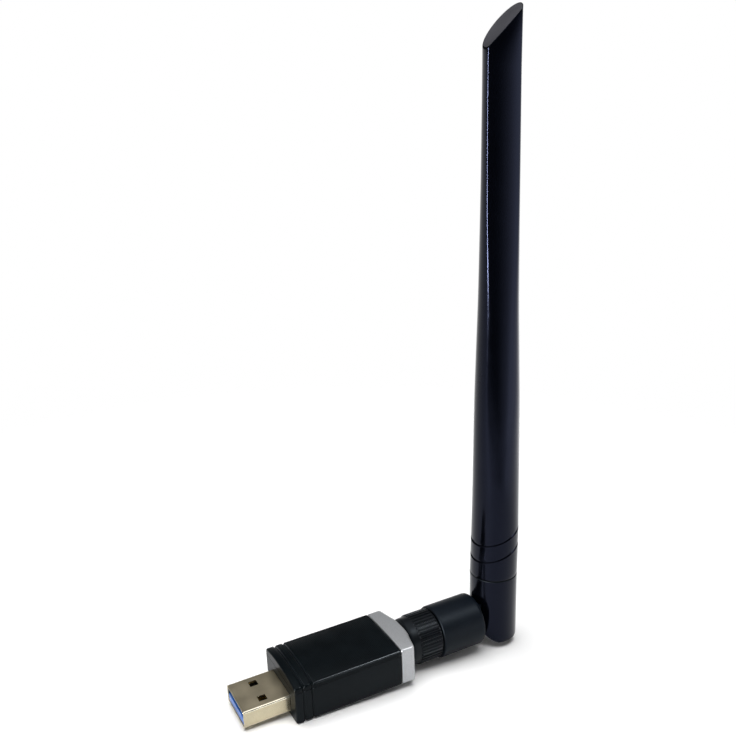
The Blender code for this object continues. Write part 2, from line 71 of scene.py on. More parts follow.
# =========================================================================
# node material helpers
# =========================================================================
class Mat:
    def __init__(self, name):
        self.m = bpy.data.materials.new(name)
        self.m.use_nodes = True
        self.nt = self.m.node_tree
        self.b = self.nt.nodes.get("Principled BSDF")
        self.co = self.nt.nodes.new("ShaderNodeTexCoord").outputs["Object"]

    def set(self, **kw):
        names = {"rough": "Roughness", "metal": "Metallic", "spec": "Specular IOR Level", "ior": "IOR",
                 "coat": "Coat Weight", "coat_rough": "Coat Roughness", "sss": "Subsurface Weight",
                 "aniso": "Anisotropic", "sheen": "Sheen Weight"}
        for k, v in kw.items():
            if k == "color":
                self.b.inputs["Base Color"].default_value = (*v, 1.0)
            else:
                self.b.inputs[names[k]].default_value = v
        return self

    def node(self, kind, **props):
        n = self.nt.nodes.new(kind)
        for k, v in props.items():
            setattr(n, k, v)
        return n

    def link(self, a, b):
        self.nt.links.new(a, b)

    def mapped(self, scale=(1, 1, 1), rot=(0, 0, 0), src=None):
        n = self.node("ShaderNodeMapping")
        n.inputs["Scale"].default_value = scale
        n.inputs["Rotation"].default_value = rot
        self.link(src or self.co, n.inputs["Vector"])
        return n.outputs["Vector"]

    def noise(self, scale, detail=4.0, rough=0.55, vec=None, dist=0.0):
        n = self.node("ShaderNodeTexNoise")
        n.inputs["Scale"].default_value = scale
        n.inputs["Detail"].default_value = detail
        n.inputs["Roughness"].default_value = rough
        n.inputs["Distortion"].default_value = dist
        self.link(vec if vec is not None else self.co, n.inputs["Vector"])
        return n.outputs["Fac"]

    def voronoi(self, scale, vec=None, feature="F1"):
        n = self.node("ShaderNodeTexVoronoi", feature=feature)
        n.inputs["Scale"].default_value = scale
        self.link(vec if vec is not None else self.co, n.inputs["Vector"])
        return n.outputs["Distance"]

    def math(self, op, a, b=None, c=None, clamp=False):
        n = self.node("ShaderNodeMath", operation=op)
        n.use_clamp = clamp
        for i, v in enumerate((a, b, c)):
            if v is None:
                continue
            if isinstance(v, (int, float)):
                n.inputs[i].default_value = v
            else:
                self.link(v, n.inputs[i])
        return n.outputs[0]

    def ramp(self, fac, stops):
        n = self.node("ShaderNodeValToRGB")
        cr = n.color_ramp
        while len(cr.elements) < len(stops):
            cr.elements.new(0.5)
        for e, (p, c) in zip(cr.elements, stops):
            e.position = p
            e.color = (*c, 1.0) if len(c) == 3 else c
        self.link(fac, n.inputs["Fac"])
        return n.outputs["Color"]

    def range(self, fac, lo, hi, a=0.0, b=1.0, smooth=False):
        n = self.node("ShaderNodeMapRange")
        if smooth:
            n.interpolation_type = "SMOOTHSTEP"
        for k, v in zip(("From Min", "From Max", "To Min", "To Max"), (lo, hi, a, b)):
            n.inputs[k].default_value = v
        self.link(fac, n.inputs["Value"])
        return n.outputs["Result"]

    def xyz(self, vec=None):
        n = self.node("ShaderNodeSeparateXYZ")
        self.link(vec if vec is not None else self.co, n.inputs[0])
        return n.outputs

    def bump(self, height, strength=0.3, dist=0.0001, normal=None):
        n = self.node("ShaderNodeBump")
        n.inputs["Strength"].default_value = strength
        n.inputs["Distance"].default_value = dist
        self.link(height, n.inputs["Height"])
        if normal is not None:
            self.link(normal, n.inputs["Normal"])
        return n.outputs["Normal"]

    def wire(self, **kw):
        names = {"color": "Base Color", "rough": "Roughness", "normal": "Normal", "metal": "Metallic"}
        for k, v in kw.items():
            self.link(v, self.b.inputs[names[k]])
        return self


def scaled(c, k):
    return tuple(min(1.0, x * k) for x in c)


def moulded(name, color, rough, grain=2600.0, grain_depth=0.5, spec=0.5, spread=0.06, coat=0.0, wear=0.0):
    """Moulded plastic: fine spark-eroded grain and slow gloss variation."""
    m = Mat(name).set(color=color, rough=rough, spec=spec, coat=coat, coat_rough=0.12)
    slow = m.noise(160.0, 3.0)
    fine = m.noise(grain, 3.0, 0.6)
    micro = m.noise(grain * 3.1, 2.0, 0.5)
    m.wire(color=m.ramp(slow, [(0.30, scaled(color, 0.78)), (0.72, scaled(color, 1.25))]))
    r = m.math("MULTIPLY_ADD", slow, spread * 2, rough - spread)
    r = m.math("ADD", r, m.math("MULTIPLY_ADD", fine, spread, -spread / 2))
    m.wire(rough=r)
    h = m.math("ADD", m.math("MULTIPLY", fine, 0.7), m.math("MULTIPLY", micro, 0.3))
    m.wire(normal=m.bump(h, grain_depth, 0.00003))
    return m


# ---------------------------------------------------------------- materials
def make_housing_mats():
    base = (0.0019, 0.0031, 0.0040)
    # sides and ends: even satin grain
    side = moulded("black_satin_plastic", base, 0.34, grain=3200, grain_depth=0.35, spec=0.098)
    side.b.inputs["Specular Tint"].default_value = (0.78, 0.90, 1.0, 1.0)
    # lid: the same plastic with a fine moulded weave of low dimples
    m = Mat("black_woven_lid").set(color=base, rough=0.30, spec=0.075)
    m.b.inputs["Specular Tint"].default_value = (0.84, 0.94, 1.0, 1.0)
    o = m.xyz(m.mapped((1, 1, 1), (0, 0, math.radians(45))))
    pitch = 0.00062
    sx = m.math("SINE", m.math("MULTIPLY", o[0], 2 * math.pi / pitch))
    sy = m.math("SINE", m.math("MULTIPLY", o[1], 2 * math.pi / pitch))
    weave = m.math("MULTIPLY", sx, sy)
    slow = m.noise(160.0, 3.0)
    fine = m.noise(3400.0, 3.0)
    # the dimples fade out at the rim, where the lid is rounded and plain
    p = m.xyz()
    lo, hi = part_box("top_cover")
    yy = m.math("ABSOLUTE", p[1])
    inside = m.range(yy, hi.y - 0.0017, hi.y - 0.0009, 1.0, 0.0, True)
    inside = m.math("MULTIPLY", inside, m.range(p[0], lo.x + 0.0052, lo.x + 0.0060, 0.0, 1.0, True))
    weave = m.math("MULTIPLY", weave, inside)
    col = m.ramp(slow, [(0.3, scaled(base, 0.8)), (0.7, scaled(base, 1.25))])
    m.wire(color=col)
    r = m.math("MULTIPLY_ADD", weave, 0.06, 0.30)
    r = m.math("ADD", r, m.math("MULTIPLY_ADD", slow, 0.10, -0.05))
    # handling has burnished the two long edges
    rim = m.range(yy, hi.y - 0.0009, hi.y - 0.0004, 0.0, 0.15, True)
    r = m.math("SUBTRACT", r, rim)
    m.wire(rough=r)
    h = m.math("ADD", m.math("MULTIPLY", weave, 0.5), m.math("MULTIPLY", fine, 0.35))
    m.wire(normal=m.bump(h, 0.45, 0.00005))
    # painted highlight: a lighter, glossier copy of the lid plastic for its long edges and groove walls
    edge = moulded("black_edge_painted_highlight", scaled(base, 1.6), 0.24, grain=3200, grain_depth=0.15, spec=0.42)
    edge.b.inputs["Specular Tint"].default_value = (0.84, 0.92, 1.0, 1.0)
    return side, m, edge


def make_metal(name, color, rough, brush_axis=0, brush=0.25, spots=0.0, spread=0.07, aniso=0.0):
    """Plated or turned metal: fine lay along one axis and soft cloudy gloss."""
    m = Mat(name).set(color=color, rough=rough, metal=1.0, aniso=aniso)
    s = [9000.0, 9000.0, 9000.0]
    s[brush_axis] = 260.0
    lay = m.noise(1.0, 4.0, 0.65, m.mapped(tuple(s)))
    slow = m.noise(190.0, 4.0)
    m.wire(color=m.ramp(slow, [(0.25, scaled(color, 0.86)), (0.75, scaled(color, 1.10))]))
    r = m.math("MULTIPLY_ADD", slow, spread * 2, rough - spread)
    r = m.math("ADD", r, m.math("MULTIPLY_ADD", lay, 0.10, -0.05))
    m.wire(rough=r)
    m.wire(normal=m.bump(lay, brush, 0.00001))
    return m


M_SIDE, M_LID, M_LID_HIGHLIGHT = make_housing_mats()
M_NUT = moulded("black_collar_plastic", (0.0030, 0.0038, 0.0050), 0.37, grain=3000, grain_depth=0.30, spec=0.145)
M_NUT.b.inputs["Specular Tint"].default_value = (0.80, 0.90, 1.0, 1.0)
M_BASE = moulded("black_base_plastic", (0.0024, 0.0040, 0.0068), 0.46, grain=3000, grain_depth=0.35, spec=0.118)
M_BASE.b.inputs["Specular Tint"].default_value = (0.76, 0.88, 1.0, 1.0)
M_ANT = moulded("antenna_gloss_plastic", (0.0008, 0.0011, 0.0022), 0.15, grain=1500, grain_depth=0.10, spec=0.19,
                spread=0.03)
M_ANT.b.inputs["Specular Tint"].default_value = (0.51, 0.59, 1.0, 1.0)
M_TIP = moulded("antenna_tip_texture", (0.044, 0.044, 0.052), 0.55, grain=1500, grain_depth=1.0, spec=0.25)
# painted light: one nickel in three tones by face direction, the sides darkest, the broad faces lighter, the folds
# lightest
M_NICKEL = make_metal("plug_nickel", (0.47, 0.42, 0.30), 0.24, 0, 0.20)
M_NICKEL_FOLD_HIGHLIGHT = make_metal("plug_nickel_painted_highlight_fold", (0.80, 0.76, 0.62), 0.18, 0, 0.15)
M_NICKEL_LIT_FLAT = make_metal("plug_nickel_painted_light_flat", (0.62, 0.545, 0.39), 0.34, 0, 0.20)
M_BLUE = moulded("blue_insulator_plastic", (0.022, 0.155, 0.62), 0.36, grain=3500, grain_depth=0.3, spec=0.5)
# painted shade: the retainer behind the plug's windows is near-black so that the windows look dark
M_SHADE_RETAINER = moulded("retainer_painted_shade_black", (0.006, 0.006, 0.007), 0.50, grain=3500, grain_depth=0.3, spec=0.3)


def tongue_with_painted_shade():
    """Blue at the mouth, running into near-black further in: painted shade for the dark inside of the plug shell."""
    m = M_BLUE
    # painted shade: from 3.6 to 4.6 mm behind the mouth the tongue fades to near-black
    dark = m.range(m.xyz()[0], X0 + 0.0036, X0 + 0.0046, 0.0, 1.0, True)
    src = m.b.inputs["Base Color"].links[0].from_socket
    mix = m.node("ShaderNodeMix", data_type="RGBA")
    m.link(dark, mix.inputs["Factor"])
    m.link(src, mix.inputs[6])
    mix.inputs[7].default_value = (0.006, 0.006, 0.007, 1.0)
    m.link(mix.outputs[2], m.b.inputs["Base Color"])


tongue_with_painted_shade()
M_BRASS = make_metal("turned_brass", (0.70, 0.52, 0.25), 0.28, 1, 0.35)
M_GOLD = make_metal("gold_plate", (0.86, 0.63, 0.24), 0.22, 0, 0.12)
M_STEEL = make_metal("ground_steel", (0.60, 0.60, 0.62), 0.26, 1, 0.3)
M_COPPER = make_metal("drawn_copper", (0.78, 0.40, 0.26), 0.30, 2, 0.3)
M_TIN = make_metal("tinned_sheet", (0.70, 0.70, 0.68), 0.32, 0, 0.2)
M_PTFE = moulded("white_ptfe", (0.80, 0.80, 0.77), 0.45, grain=3000, grain_depth=0.2)
M_CHIP = moulded("chip_epoxy", (0.028, 0.028, 0.030), 0.55, grain=6000, grain_depth=0.5)
M_CERAMIC = moulded("fired_ceramic", (0.50, 0.38, 0.27), 0.50, grain=6000, grain_depth=0.4)
M_FERRITE = moulded("ferrite", (0.09, 0.09, 0.10), 0.60, grain=5000, grain_depth=0.6)
M_JACKET = moulded("cable_jacket", (0.035, 0.035, 0.037), 0.48, grain=3000, grain_depth=0.4)
M_FOAM = moulded("foam", (0.55, 0.55, 0.57), 0.92, grain=2500, grain_depth=1.0, spec=0.2)


def silver_paint():
    c = (0.405, 0.415, 0.43)
    m = Mat("satin_silver_paint").set(color=c, rough=0.38, metal=0.60, spec=0.5)
    flake = m.voronoi(5200.0)
    fine = m.noise(4200.0, 3.0)
    slow = m.noise(220.0, 3.0)
    mix = m.math("ADD", m.math("MULTIPLY", flake, 0.6), m.math("MULTIPLY", slow, 0.4))
    m.wire(color=m.ramp(mix, [(0.15, scaled(c, 1.12)), (0.75, scaled(c, 0.86))]))
    m.wire(rough=m.math("MULTIPLY_ADD", slow, 0.14, 0.32))
    m.wire(normal=m.bump(m.math("ADD", flake, fine), 0.16, 0.00002))
    return m


M_SILVER = silver_paint()


def board():
    m = Mat("solder_mask").set(color=(0.012, 0.10, 0.045), rough=0.38, spec=0.5)
    o = m.xyz()
    tx = m.math("PINGPONG", m.math("MULTIPLY", o[1], 1.0), 0.00045)
    n = m.noise(420.0, 1.0)
    tr = m.math("LESS_THAN", m.math("ADD", tx, m.math("MULTIPLY_ADD", n, 0.0006, -0.0003)), 0.00012)
    col = m.ramp(tr, [(0.0, (0.010, 0.085, 0.040)), (1.0, (0.020, 0.16, 0.07))])
    m.wire(color=col)
    m.wire(rough=m.math("MULTIPLY_ADD", m.noise(900.0), 0.15, 0.30))
    m.wire(normal=m.bump(m.math("ADD", tr, m.math("MULTIPLY", m.noise(5000.0), 0.3)), 0.3, 0.00003))
    return m


M_BOARD = board()


# =========================================================================
# mesh helpers
# =========================================================================
def to_object(name, bm, mats, smooth=32.0):
    bmesh.ops.remove_doubles(bm, verts=bm.verts, dist=1e-5)
    bmesh.ops.recalc_face_normals(bm, faces=bm.faces)
    for v in bm.verts:
        v.co = P(*v.co)
    me = bpy.data.meshes.new(name)
    bm.to_mesh(me)
    bm.free()
    for m in mats if isinstance(mats, (list, tuple)) else [mats]:
        me.materials.append(m.m)
    ob = bpy.data.objects.new(name, me)
    scene.collection.objects.link(ob)
    me.shade_smooth()
    if smooth:
        me.set_sharp_from_angle(angle=math.radians(smooth))
    return ob


def apply_all(ob):
    bpy.context.view_layer.update()
    dg = bpy.context.evaluated_depsgraph_get()
    me = bpy.data.meshes.new_from_object(ob.evaluated_get(dg), preserve_all_data_layers=True, depsgraph=dg)
    old = ob.data
    ob.modifiers.clear()
    ob.data = me
    me.name = ob.name
    bpy.data.meshes.remove(old)


def boolean(ob, bm, op="DIFFERENCE"):
    other = to_object("cutter", bm, M_SIDE, smooth=0)
    m = ob.modifiers.new("b", "BOOLEAN")
    m.operation, m.solver, m.object = op, "EXACT", other
    apply_all(ob)
    me = other.data
    bpy.data.objects.remove(other)
    bpy.data.meshes.remove(me)
    return ob


def soften(ob, width=0.12, segments=2, angle=38.0, smooth=40.0, weighted=True):
    """Break every sharp edge with a small round, and keep broad faces flat."""
    if width:
        m = ob.modifiers.new("bevel", "BEVEL")
        m.width, m.segments = width * MM, segments
        m.limit_method, m.angle_limit = "ANGLE", math.radians(angle)
        m.use_clamp_overlap = True
        m.miter_outer = "MITER_ARC"
        apply_all(ob)
    ob.data.shade_smooth()
    ob.data.set_sharp_from_angle(angle=math.radians(smooth))
    if weighted:
        w = ob.modifiers.new("wn", "WEIGHTED_NORMAL")
        w.keep_sharp = True
        w.weight = 50
        apply_all(ob)
    return ob


def loft(rings, bm=None, start=True, end=True):
    bm = bm or bmesh.new()
    vs = [[bm.verts.new(p) for p in r] for r in rings]
    n = len(vs[0])
    for a, b in zip(vs[:-1], vs[1:]):
        for i in range(n):
            j = (i + 1) % n
            bm.faces.new((a[i], a[j], b[j], b[i]))
    if start:
        bm.faces.new(list(reversed(vs[0])))
    if end:
        bm.faces.new(vs[-1])
    return bm


def box(x0, x1, y0, y1, z0, z1, bm=None):
    r = lambda x: [(x, y0, z0), (x, y1, z0), (x, y1, z1), (x, y0, z1)]
    return loft([r(x0), r(x1)], bm)


def turned(profile, segs=96, axis="X", centre=(0.0, 0.0, 0.0), radius=None, bm=None):
    bm = bm or bmesh.new()
    cx, cy, cz = centre
    rings = []
    for a, r in profile:
        if r <= 1e-9:
            c = {"X": (cx + a, cy, cz), "Z": (cx, cy, cz + a), "Y": (cx, cy + a, cz)}[axis]
            rings.append([bm.verts.new(c)])
            continue
        ring = []
        for k in range(segs):
            t = 2 * math.pi * k / segs
            rr = radius(t, a, r) if radius else r
            u, w = rr * math.cos(t), rr * math.sin(t)
            c = {"X": (cx + a, cy + u, cz + w), "Z": (cx + u, cy + w, cz + a), "Y": (cx + u, cy + a, cz + w)}[axis]
            ring.append(bm.verts.new(c))
        rings.append(ring)
    for i in range(len(rings)):
        a, b = rings[i], rings[(i + 1) % len(rings)]
        if len(a) == 1 and len(b) == 1:
            continue
        for k in range(segs):
            j = (k + 1) % segs
            if len(a) == 1:
                bm.faces.new((a[0], b[k], b[j]))
            elif len(b) == 1:
                bm.faces.new((a[k], a[j], b[0]))
            else:
                bm.faces.new((a[k], a[j], b[j], b[k]))
    return bm


def arc(cx, cr, r, a0, a1, n=6):
    """Points of an arc in a turned profile: centre (cx, cr), angles in degrees."""
    return [(cx + r * math.cos(math.radians(a0 + (a1 - a0) * i / n)),
             cr + r * math.sin(math.radians(a0 + (a1 - a0) * i / n))) for i in range(n + 1)]


def rod(x0, x1, r, segs=48, axis="X", centre=(0, 0, 0)):
    return turned([(x0, 0), (x0, r), (x1, r), (x1, 0)], segs, axis, centre)


def rr_outline(w, h, r, zc=0.0, n=8):
    pts = []
    for sx, sz, a0 in ((1, -1, -90), (1, 1, 0), (-1, 1, 90), (-1, -1, 180)):
        for i in range(n + 1):
            t = math.radians(a0 + 90 * i / n)
            pts.append((sx * (w / 2 - r) + r * math.cos(t), zc + sz * (h / 2 - r) + r * math.sin(t)))
    return pts


def rounded(half_w, lo, hi, r, crown=0.0, bow=0.0, nc=9, nt=36, ns=8, nb=12):
    pts = []

    def corner(cy, cz, a0):
        for i in range(nc + 1):
            t = a0 + (math.pi / 2) * i / nc
            pts.append((cy + r * math.cos(t), cz + r * math.sin(t)))

    w = half_w
    corner(w - r, lo + r, -math.pi / 2)
    pts += [(w, lo + r + (hi - lo - 2 * r) * i / ns) for i in range(1, ns)]
    corner(w - r, hi - r, 0.0)
    pts += [(w - r - 2 * (w - r) * i / nt, hi) for i in range(1, nt)]
    corner(-w + r, hi - r, math.pi / 2)
    pts += [(-w, hi - r - (hi - lo - 2 * r) * i / ns) for i in range(1, ns)]
    corner(-w + r, lo + r, math.pi)
    pts += [(-w + r + 2 * (w - r) * i / nb, lo) for i in range(1, nb)]
    out = []
    mid, half = (lo + hi) / 2, (hi - lo) / 2
    for y, z in pts:
        if z > mid:
            z += crown * max(0.0, 1.0 - abs(y / w) ** 2.6) * min(1.0, (z - mid) / half)
        y -= math.copysign(bow * abs((z - mid) / half) ** 2, y) * min(1.0, abs(y) / w)
        out.append((y, z))
    return out


def place(ob, body, nodes):
    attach(ob, body)
    if nodes:
        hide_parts(*nodes)
    return ob


# =========================================================================
# the USB plug
# =========================================================================
PLUG_Z = -1.0
PW, PH, PT = 12.0, 4.5, 0.35
BACK = (_plug_hi.x - X0) / MM


def make_plug_shell():
    outer = rr_outline(PW, PH, 0.50, PLUG_Z)
    inner = rr_outline(PW - 2 * PT, PH - 2 * PT, 0.30, PLUG_Z)

    def blend(k):      # k 0 outer .. 1 inner
        return [(a[0] + (b[0] - a[0]) * k, a[1] + (b[1] - a[1]) * k) for a, b in zip(outer, inner)]

    at = lambda o, x: [(x, y, z) for y, z in o]
    rings = []
    n = 6
    for i in range(n + 1):                       # rolled front edge
        t = math.pi / 2 * i / n
        rings.append(at(blend(0.5 - 0.5 * math.sin(t)), 0.17 - 0.17 * math.cos(t)))
    for x in (1.5, 4.0, 8.0, 12.0, 15.0, BACK):
        rings.append(at(outer, x))
    for x in (BACK, 12.0, 6.0, 1.0):
        rings.append(at(inner, x))
    for i in range(n + 1):
        t = math.pi / 2 * (1 - i / n)
        rings.append(at(blend(0.5 + 0.5 * math.sin(t)), 0.17 - 0.17 * math.cos(t)))
    bm = bmesh.new()
    vs = [[bm.verts.new(p) for p in r] for r in rings]
    m = len(vs[0])
    for i in range(len(vs)):
        a, b = vs[i], vs[(i + 1) % len(vs)]
        for k in range(m):
            j = (k + 1) % m
            try:
                bm.faces.new((a[k], a[j], b[j], b[k]))
            except ValueError:
                pass
    ob = to_object("usb_plug_shell", bm, [M_NICKEL, M_NICKEL_LIT_FLAT, M_NICKEL_FOLD_HIGHLIGHT])
    cut = bmesh.new()
    for y in (-3.1, 3.1):
        for z in (PLUG_Z - PH / 2, PLUG_Z + PH / 2):
            box(4.85, 6.95, y - 1.0, y + 1.0, z - 0.55, z + 0.55, cut)
    boolean(ob, cut)
    # the folded seam along the underside, with its dovetail
    seam = bmesh.new()
    zb = PLUG_Z - PH / 2
    w = 0.045
    box(0.8, 5.2, -w, w, zb - 0.1, zb + 0.09, seam)
    boolean(ob, seam)
    seam = bmesh.new()
    path = [(5.2, 0.0), (5.5, -0.9), (7.4, -1.25), (7.7, 0.0)]
    for (xa, ya), (xb, yb) in zip(path[:-1], path[1:]):
        d = Vector((xb - xa, yb - ya, 0)).normalized()
        nrm = Vector((-d.y, d.x, 0)) * w
        a, b = Vector((xa, ya, 0)) - d * 0.02, Vector((xb, yb, 0)) + d * 0.02
        ring = lambda z: [((a + nrm).x, (a + nrm).y, z), ((b + nrm).x, (b + nrm).y, z),
                          ((b - nrm).x, (b - nrm).y, z), ((a - nrm).x, (a - nrm).y, z)]
        one = loft([ring(zb - 0.1), ring(zb + 0.09)])
        boolean(ob, one)
    boolean(ob, box(7.7, 11.8, -w, w, zb - 0.1, zb + 0.09))
    soften(ob, 0.06, 2, 50.0, 45.0)
    for f in ob.data.polygons:                   # painted light: the broad faces get a rougher but lighter copy of the nickel
        if abs(f.normal.z) > 0.97:
            f.material_index = 1
        elif abs(f.normal.z) > 0.22 and abs(f.normal.x) < 0.1 and abs(f.normal.y) > 0.2:
            f.material_index = 2                 # painted highlight: the folds get a lighter, glossier copy of the nickel
    return place(ob, "adapter", ["plug_shell"])


def make_tongue():
    lo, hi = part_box("plug_tongue")
    x0, x1 = (lo.x - X0) / MM, (hi.x - X0) / MM
    z0, z1 = (lo.z - AXIS) / MM, (hi.z - AXIS) / MM
    y = hi.y / MM
    ob = to_object("blue_tongue", box(x0, x1, -y, y, z0, z1), M_BLUE)
    cut = bmesh.new()
    for c in (-3.5, -1.0, 1.0, 3.5):               # shallow beds of the flat contacts
        box(1.3, 8.6, c - 0.55, c + 0.55, z1 - 0.12, z1 + 0.5, cut)
    for c in (-4.75, -2.25, 0.0, 2.25, 4.75):      # slots of the sprung ones
        box(8.9, 12.4, c - 0.36, c + 0.36, z1 - 0.5, z1 + 0.5, cut)
    boolean(ob, cut)
    soften(ob, 0.10, 3, 50.0, 45.0)
    return place(ob, "adapter", ["plug_tongue"])


# =========================================================================
# the housing
# =========================================================================
HX0, HX1, HW, HR = 12.0, 41.2, 19.2, 0.50
HLO, HHI = -4.725, 5.25
WALL, CROWN, CROWN_BACK, SEAM = 1.25, 1.0, 0.4, 3.85
GROOVES, GD = (14.3, 16.6), 0.28


def groove_inset(x):
    for g in GROOVES:
        u = (x - g) / 0.42
        if abs(u) < 1:
            return GD * (0.5 + 0.5 * math.cos(math.pi * u)) ** 0.8
    return 0.0


def house_rings():
    st = []
    r = 0.36
    for i in range(9):
        t = math.pi / 2 * i / 8
        st.append((HX0 + r - r * math.cos(t), r - r * math.sin(t)))
    st.append((13.2, 0.0))
    for g in GROOVES:
        st += [(g + 0.42 * k / 7, None) for k in range(-7, 8)]
    st += [(x, 0.0) for x in (18.2, 20, 23, 26, 29, 32, 35, 38, 40.2, 41.0)]
    st.append((HX1, 0.14))
    rings = []
    for x, inset in st:
        if inset is None:
            inset = groove_inset(x)
        c = CROWN + (CROWN_BACK - CROWN) * (x - HX0) / (HX1 - HX0)
        o = rounded(HW / 2 - inset, HLO + inset, HHI - inset, max(0.35, HR - 0.4 * inset), crown=c, bow=0.12)
        rings.append([(x, y, z) for y, z in o])
    return rings


CY, CLO, CHI = HW / 2 - WALL, HLO + WALL, HHI - WALL


def make_tub():
    ob = to_object("lower_housing", loft(house_rings()), M_SIDE, 30)
    boolean(ob, box(11, 43, -11, 11, SEAM, 9))
    boolean(ob, box(HX0 + WALL, 43, -CY, CY, CLO, 9.5))
    hole = rr_outline(PW + 0.36, PH + 0.36, 0.75, PLUG_Z)
    boolean(ob, loft([[(x, y, z) for y, z in hole] for x in (11.0, 14.0)]))
    posts = bmesh.new()
    z1 = (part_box("circuit_board")[0].z - AXIS) / MM - 0.25
    for x in (21.0, 37.5):
        for y in (-6.4, 6.4):
            turned([(CLO - 0.4, 0), (CLO - 0.4, 0.9), (z1, 0.9), (z1, 0)], 24, "Z", (x, y, 0.0), bm=posts)
    boolean(ob, posts, "UNION")
    soften(ob, 0.05, 2, 40.0, 35.0)
    return place(ob, "adapter", ["bottom_cover"])


def make_lid():
    ob = to_object("upper_housing", loft(house_rings()), [M_LID, M_LID_HIGHLIGHT], 30)
    boolean(ob, box(11, 43, -11, 11, -9, SEAM + 0.04))
    boolean(ob, box(HX0 + WALL + 0.35, HX1 - 0.2, -CY + 0.3, CY - 0.3, SEAM - 0.9, SEAM + 0.6), "UNION")
    boolean(ob, box(HX0 + WALL + 1.15, 43, -CY + 1.1, CY - 1.1, 0, SEAM + 0.2))
    soften(ob, 0.05, 2, 40.0, 35.0)
    # painted highlight: the rounded long edges and the walls of the two grooves get a lighter, glossier copy of the
    # plastic
    for f in ob.data.polygons:
        c = (f.center - P(0)) / MM
        n = f.normal
        rim = abs(c.y) > HW / 2 - 0.45 and c.z > HHI - 0.45 and 0.25 < abs(n.y) < 0.93
        rim = rim and abs(n.x) < 0.05 and c.x > GROOVES[-1] + 0.8
        wall = c.z > HHI and n.x < -0.40 and abs(c.y) < HW / 2 - 0.7 and any(abs(c.x - g) < 0.42 for g in GROOVES)
        if rim or wall:
            f.material_index = 1
    return place(ob, "adapter", ["top_cover"])


CAP_X1, NECK_X1, NECK = 45.1, 46.4, 4.5


def make_end_cap():
    rings = []
    xs = [(HX1 + 0.18, HW / 2, 0.20), (HX1 + 0.21, HW / 2, 0.10), (HX1 + 0.28, HW / 2, 0.03), (HX1 + 0.36, HW / 2, 0.0)]
    xs += [(x, HW / 2, 0.0) for x in (42.5, 43.6, 44.4)]
    # rounded shoulder, shallow chamfer, and the neck's rounded rim
    for i in range(9):
        t = math.radians(74 * i / 8)
        xs.append((CAP_X1 - 0.5 + 0.5 * math.sin(t), HW / 2 - 0.5 * (1 - math.cos(t)), 0.0))
    xe, he, _ = xs[-1]
    for i in range(1, 9):
        k = i / 8
        xs.append((xe + (NECK_X1 - 0.2 - xe) * k, he + (NECK - he) * k, 0.0))
    for i in range(1, 6):
        t = math.pi / 2 * i / 5
        xs.append((NECK_X1 - 0.2 + 0.2 * math.sin(t), NECK, 0.2 * (1 - math.cos(t))))
    for x, half, inset in xs:
        o = rounded(half - inset, HLO + inset, HHI - inset, HR, crown=CROWN_BACK, bow=0.12)
        rings.append([(x, y, z) for y, z in o])
    ob = to_object("silver_end_cap", loft(rings), M_SILVER, 30)
    boolean(ob, box(40, 43.2, -CY, CY, CLO, CHI))
    boolean(ob, turned([(42.5, 0), (42.5, 4.1), (44.3, 4.1), (44.3, 3.5), (49.0, 3.5), (49.0, 0)], 64))
    soften(ob, 0.05, 2, 50.0, 40.0)
    return place(ob, "adapter", ["end_cap"])


# =========================================================================
# the coaxial jack with its thread
# =========================================================================
def make_jack():
    pitch, segs = 25.4 / 36, 72
    hexed = lambda t: 3.75 * math.cos(math.pi / 6) / math.cos((t % (math.pi / 3)) - math.pi / 6)
    bm = bmesh.new()
    rings = []

    def ring(x, rad):
        out = []
        for k in range(segs):
            t = 2 * math.pi * k / segs
            r = rad(t)
            out.append(bm.verts.new((x, r * math.cos(t), r * math.sin(t))))
        rings.append(out)

    ring(43.2, lambda t: 2.3)
    ring(43.2, lambda t: min(3.3, hexed(t)))
    ring(43.32, lambda t: min(3.62, hexed(t)))
    ring(43.88, lambda t: min(3.62, hexed(t)))
    ring(44.0, lambda t: min(3.4, hexed(t)))
    ring(44.0, lambda t: 3.12)
    ring(45.2, lambda t: 3.12)
    ring(45.5, lambda t: 2.85)
    x = 45.8
    while x < 53.05:
        fade = max(0.0, min(1.0, (x - 45.8) / 0.6, (53.05 - x) / 0.7))

        def rad(t, x=x, fade=fade):
            u = (x / pitch - t / (2 * math.pi)) % 1.0
            tri = 1.0 - abs(2 * u - 1.0)
            return 2.78 + 0.37 * fade * min(1.0, tri * 1.25)

        ring(x, rad)
        x += pitch / 10
    ring(53.3, lambda t: 2.7)
    ring(53.4, lambda t: 2.55)
    ring(53.4, lambda t: 2.3)
    ring(48.0, lambda t: 2.3)
    for i in range(len(rings)):
        a, b = rings[i], rings[(i + 1) % len(rings)]
        for k in range(segs):
            j = (k + 1) % segs
            bm.faces.new((a[k], a[j], b[j], b[k]))
    ob = to_object("threaded_jack", bm, M_BRASS, 40)
    return place(ob, "adapter", ["jack_body"])


# =========================================================================
# the knurled collar
# =========================================================================
NX0, NX1, NR, RIBS = 46.7, 55.8, 6.6, 40


